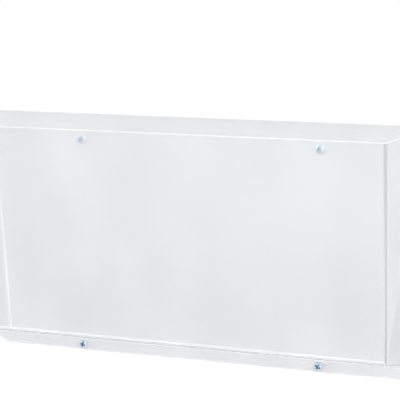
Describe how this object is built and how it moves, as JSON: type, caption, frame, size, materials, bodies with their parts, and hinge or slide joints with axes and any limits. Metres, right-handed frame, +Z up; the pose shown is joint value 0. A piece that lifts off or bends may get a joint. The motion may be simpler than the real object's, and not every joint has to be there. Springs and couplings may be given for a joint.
{
  "type": "wall literature holder",
  "caption": "Clear moulded wall pocket for folders and literature, leaning open to the front, with screws and wall plugs at its back plate.",
  "frame": {"origin": "centre of the pocket's flat back, where it lies on the wall", "axes": "+Z up, +Y into the wall, +X to the right as a person faces the pocket, which opens towards -Y and upwards"},
  "size_m": [0.3536, 0.1147, 0.1814],
  "materials": {
    "clear_plastic": "clear, polished",
    "zinc_screw": "bright zinc plate",
    "plug_plastic": "matt nylon"
  },
  "bodies": {
    "root": {"pocket": "clear_plastic", "lower_left_screw": "zinc_screw", "lower_right_screw": "zinc_screw", "upper_left_screw": "zinc_screw", "upper_right_screw": "zinc_screw", "lower_left_plug": "plug_plastic", "lower_right_plug": "plug_plastic", "upper_left_plug": "plug_plastic", "upper_right_plug": "plug_plastic"}
  },
  "joints": []
}
